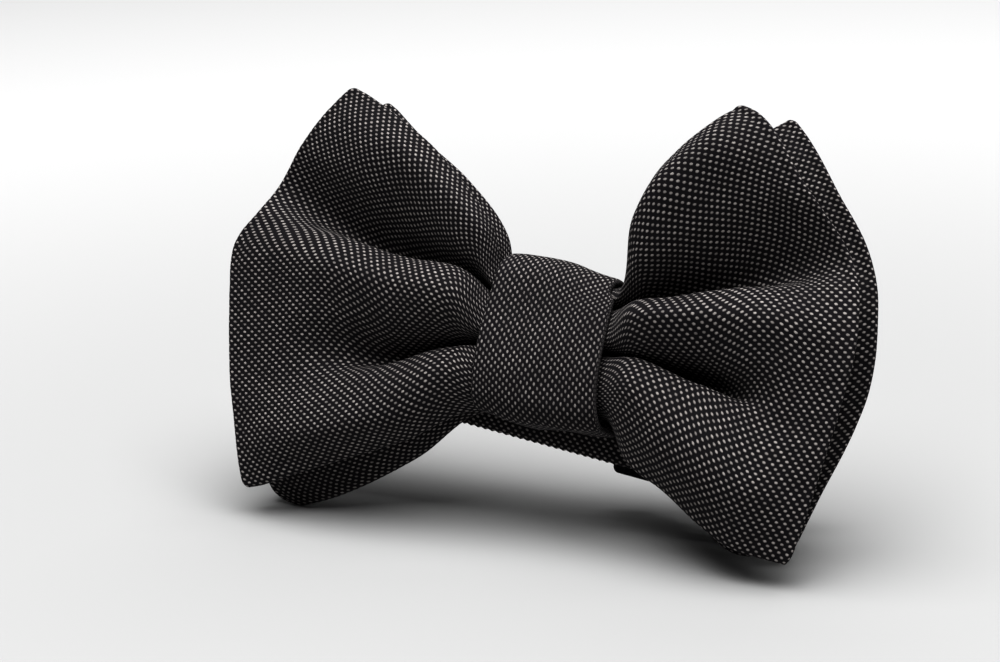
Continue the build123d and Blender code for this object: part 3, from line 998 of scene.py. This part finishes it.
def build_neckband():
    """One strap in six pieces that meet where the plies are flat, and its end on the slider."""
    length = build_center_ply()
    length = build_fold_1(length)
    length = build_fold_2(length)
    length = build_fold_3(length)
    length = build_outer_ply(length)
    build_hook_end(length)
    build_slide_wrap()


# ---------------------------------------------------------------- CAD nodes that stay

def finish_cad_nodes():
    """Metal, thread and interlining nodes keep their CAD shape; the metal gets rounded edges."""
    finishes = {
        METAL: ("slide_frame", "hook", "eye"),
        THREAD: ("knot_closing_stitches", "tail_bar_tack", "slide_bar_tack", "back_bow_seam_stitches"),
        CANVAS: ("neckband_center_interlining", "neckband_inner_interlining",
                 "neckband_middle_interlining", "neckband_outer_interlining"),
    }
    for finish, names in finishes.items():
        for name in names:
            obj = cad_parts[name]
            obj.data.materials.clear()
            obj.data.materials.append(finish)
            if finish is METAL:
                m = obj.modifiers.new("Rounded edges", "BEVEL")
                m.width = 0.00022
                m.segments = 3
                m.limit_method = "ANGLE"


# ---------------------------------------------------------------- stage, light and camera

def build_stage():
    """A grey floor with painted light: it glows a little away from the tie and not beside it, so that it
    stays pale to the picture's edges.
    """
    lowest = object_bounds()[0][2]
    size = 8.0
    corners = [(-size, -size, lowest), (size, -size, lowest), (size, size, lowest), (-size, size, lowest)]
    mesh = bpy.data.meshes.new("floor")
    mesh.from_pydata(corners, [], [(0, 1, 2, 3)])
    floor = bpy.data.objects.new("floor", mesh)
    bpy.context.scene.collection.objects.link(floor)
    m, nodes, links = material("grey_floor_painted_glow")
    g = Graph(nodes, links)
    where = nodes.new("ShaderNodeTexCoord")
    far = nodes.new("ShaderNodeVectorMath")
    far.operation = "LENGTH"
    links.new(where.outputs["Object"], far.inputs[0])
    diffuse = nodes.new("ShaderNodeBsdfDiffuse")
    diffuse.inputs["Color"].default_value = (0.365, 0.365, 0.365, 1)
    glow = nodes.new("ShaderNodeEmission")
    # Painted light: the glow rises from none beside the tie to full strength about half a metre out.
    links.new(g.step(far.outputs["Value"], 0.03, 0.5, 0.0, 0.31), glow.inputs["Strength"])
    both = nodes.new("ShaderNodeAddShader")
    links.new(diffuse.outputs[0], both.inputs[0])
    links.new(glow.outputs[0], both.inputs[1])
    out = nodes.new("ShaderNodeOutputMaterial")
    links.new(both.outputs[0], out.inputs[0])
    mesh.materials.append(m)


def area_light(name, place, aim, size, power):
    data = bpy.data.lights.new(name, "AREA")
    data.shape = "RECTANGLE"
    data.size, data.size_y = size
    data.energy = power
    obj = bpy.data.objects.new(name, data)
    obj.location = place
    direction = Vector(aim) - Vector(place)
    obj.rotation_euler = direction.to_track_quat("-Z", "Y").to_euler()
    bpy.context.scene.collection.objects.link(obj)


def build_lights():
    """One big softbox overhead, a weak one behind and a faint even surround."""
    world = bpy.data.worlds.new("studio")
    world.use_nodes = True
    nodes = world.node_tree.nodes
    nodes["Background"].inputs[0].default_value = (0.97, 0.98, 1.0, 1)
    nodes["Background"].inputs[1].default_value = 0.05
    bpy.context.scene.world = world
    bpy.context.scene.view_settings.view_transform = "Standard"
    bpy.context.scene.view_settings.gamma = 0.75
    area_light("top_softbox", (0.08, -0.16, 1.2), (-0.01, 0, 0), (1.4, 1.4), 47.0)
    area_light("back_softbox", (-0.15, 1.0, 1.1), (0, 0, 0), (1.2, 0.7), 5.0)


def build_camera():
    at = Vector((156.39, -359.53, 113.26)) / 1000
    look = Vector((-12.13, -7.9, 4.03)) / 1000
    roll = math.radians(-1.94)
    data = bpy.data.cameras.new("camera")
    data.lens = 84
    data.sensor_width = 36
    data.clip_start = 0.01
    camera = bpy.data.objects.new("camera", data)
    forward = (look - at).normalized()
    right = forward.cross(Vector((0, 0, 1))).normalized()
    up = right.cross(forward)
    right, up = right * math.cos(roll) + up * math.sin(roll), up * math.cos(roll) - right * math.sin(roll)
    basis = Matrix((right, up, -forward)).transposed().to_4x4()
    camera.matrix_world = Matrix.Translation(at) @ basis
    bpy.context.scene.collection.objects.link(camera)
    bpy.context.scene.camera = camera


build_front_bow()
build_back_bow()
build_knot()
build_neckband()
finish_cad_nodes()
build_stage()
build_lights()
build_camera()
